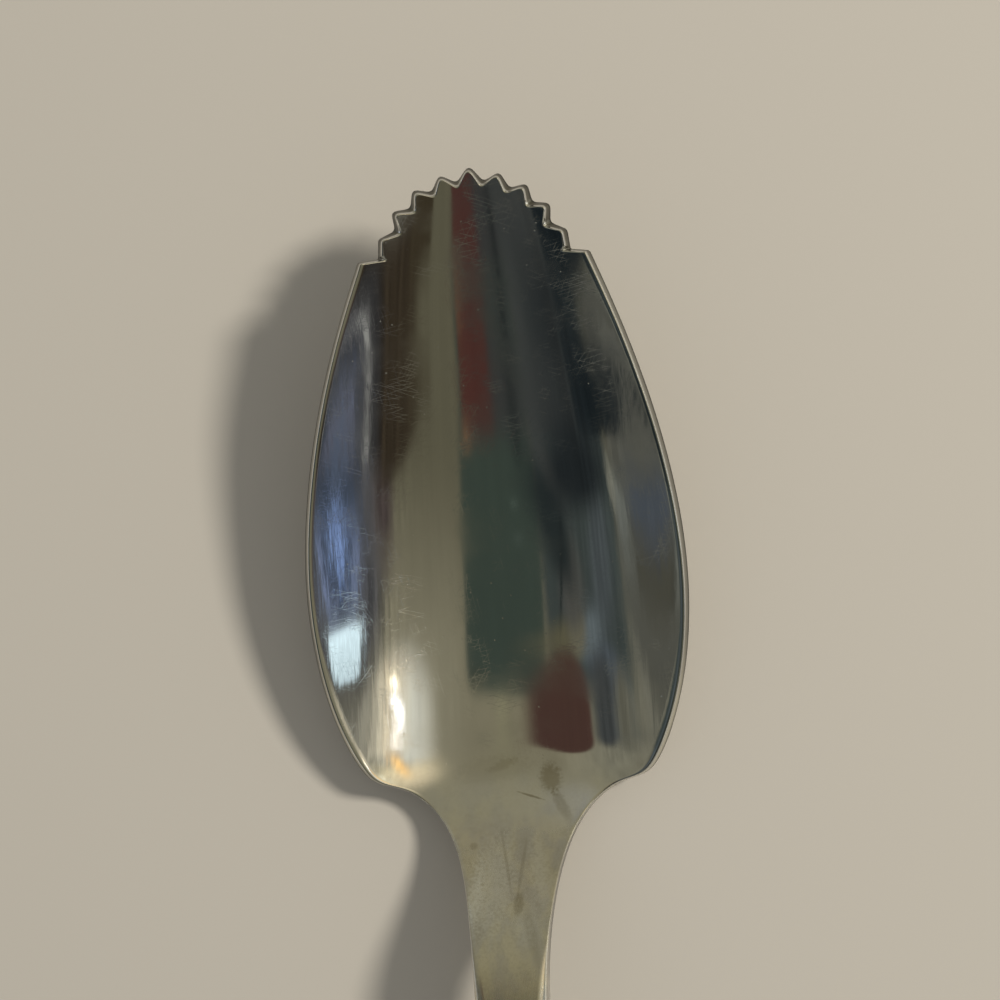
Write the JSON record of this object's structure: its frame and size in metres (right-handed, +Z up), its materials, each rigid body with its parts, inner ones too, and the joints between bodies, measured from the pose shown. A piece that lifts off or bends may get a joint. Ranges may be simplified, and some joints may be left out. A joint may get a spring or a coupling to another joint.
{
  "type": "grapefruit spoon",
  "caption": "Slim one-piece steel spoon with a long, deep bowl, teeth cut round its tip, square shoulders and corners, and a plain flat handle.",
  "frame": {"origin": "bottom centre of the spoon's box, on the table that the spoon rests on", "axes": "+Y along the spoon towards the toothed tip, +X across it to the right, +Z up out of the bowl"},
  "size_m": [0.0316, 0.16, 0.0131],
  "materials": {
    "bowl_steel": "mirror-polished stainless steel with fine scratches",
    "handle_steel": "polished stainless steel with a fine lengthwise grain"
  },
  "bodies": {
    "root": {"serrated_tip": "bowl_steel", "bowl": "bowl_steel", "neck": "handle_steel", "handle": "handle_steel"}
  },
  "joints": []
}
